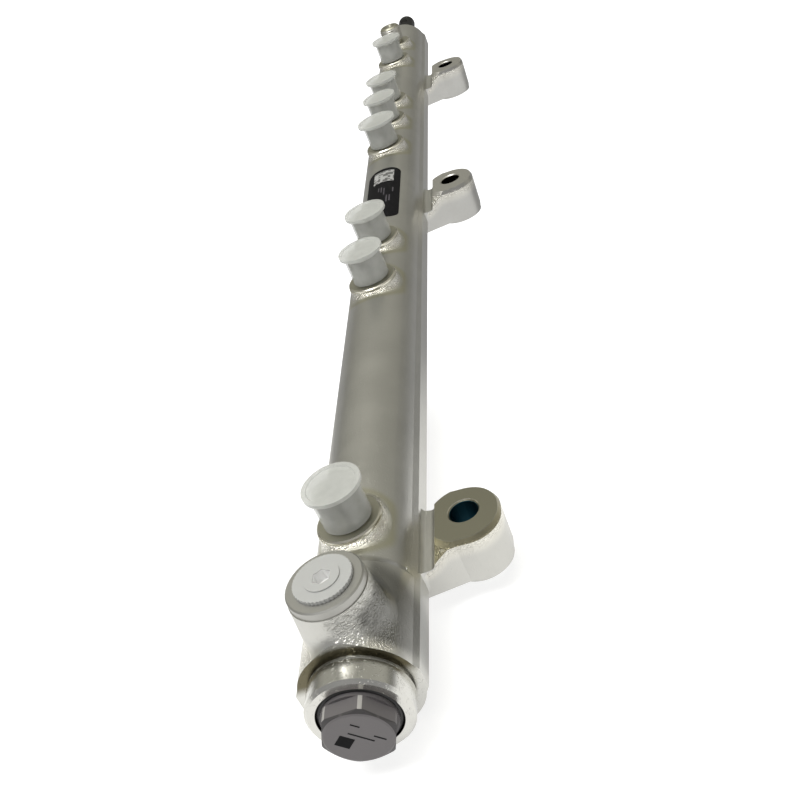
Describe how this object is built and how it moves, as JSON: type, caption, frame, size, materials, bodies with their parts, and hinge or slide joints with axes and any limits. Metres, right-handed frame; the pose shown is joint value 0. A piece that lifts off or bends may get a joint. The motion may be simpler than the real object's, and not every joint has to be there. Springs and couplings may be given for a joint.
{
  "type": "fuel rail",
  "caption": "Forged common-rail diesel fuel rail with capped high-pressure ports, return boss, limiting valve, bolt lugs, label and pressure sensor.",
  "frame": {"origin": "middle bolt hole's axis at the face that meets the engine", "axes": "+X along the tube from the limiting valve to the pressure sensor, +Z along the ports and bolt holes away from the engine, tube on the +Y side of the bolts"},
  "size_m": [0.7663, 0.0706, 0.0571],
  "materials": {
    "plated_forging": "satin zinc-nickel plating over a drop-forged steel skin",
    "valve_steel": "matt warm-grey plated steel",
    "bright_steel": "ground hardened steel",
    "spring_steel": "shot-peened spring wire",
    "sensor_steel": "bright zinc plated steel",
    "cap_plastic": "soft milky translucent polyethylene",
    "plug_plastic": "milky polyethylene",
    "label_film": "matt black printed film",
    "connector_plastic": "black glass-filled polyamide",
    "seal_rubber": "black rubber",
    "board_laminate": "green circuit laminate",
    "terminal_brass": "tinned brass"
  },
  "bodies": {
    "rail": {"rail_body": "plated_forging", "return_port_plug": "plug_plastic", "rating_label": "label_film", "valve_housing": "valve_steel", "valve_seal_ring": "seal_rubber", "valve_seat": "bright_steel", "valve_spring": "spring_steel", "valve_shim": "bright_steel", "sensor_body": "sensor_steel", "sensor_measuring_cell": "bright_steel", "sensor_circuit_board": "board_laminate", "sensor_seal_ring": "seal_rubber", "sensor_connector": "connector_plastic", "sensor_terminal_1": "terminal_brass", "sensor_terminal_2": "terminal_brass", "sensor_terminal_3": "terminal_brass", "port_cap_1": "cap_plastic", "port_cap_2": "cap_plastic", "port_cap_3": "cap_plastic", "port_cap_4": "cap_plastic", "port_cap_5": "cap_plastic", "port_cap_6": "cap_plastic", "port_cap_7": "cap_plastic"},
    "needle": {"valve_needle": "bright_steel"}
  },
  "joints": [
    {"name": "needle_lift", "type": "slide", "parent": "rail", "child": "needle", "axis": [-1, 0, 0], "range_m": [0, 0.0008], "stiffness_N_per_m": 500, "springref_m": -0.002, "deforming": ["valve_spring"]}
  ]
}
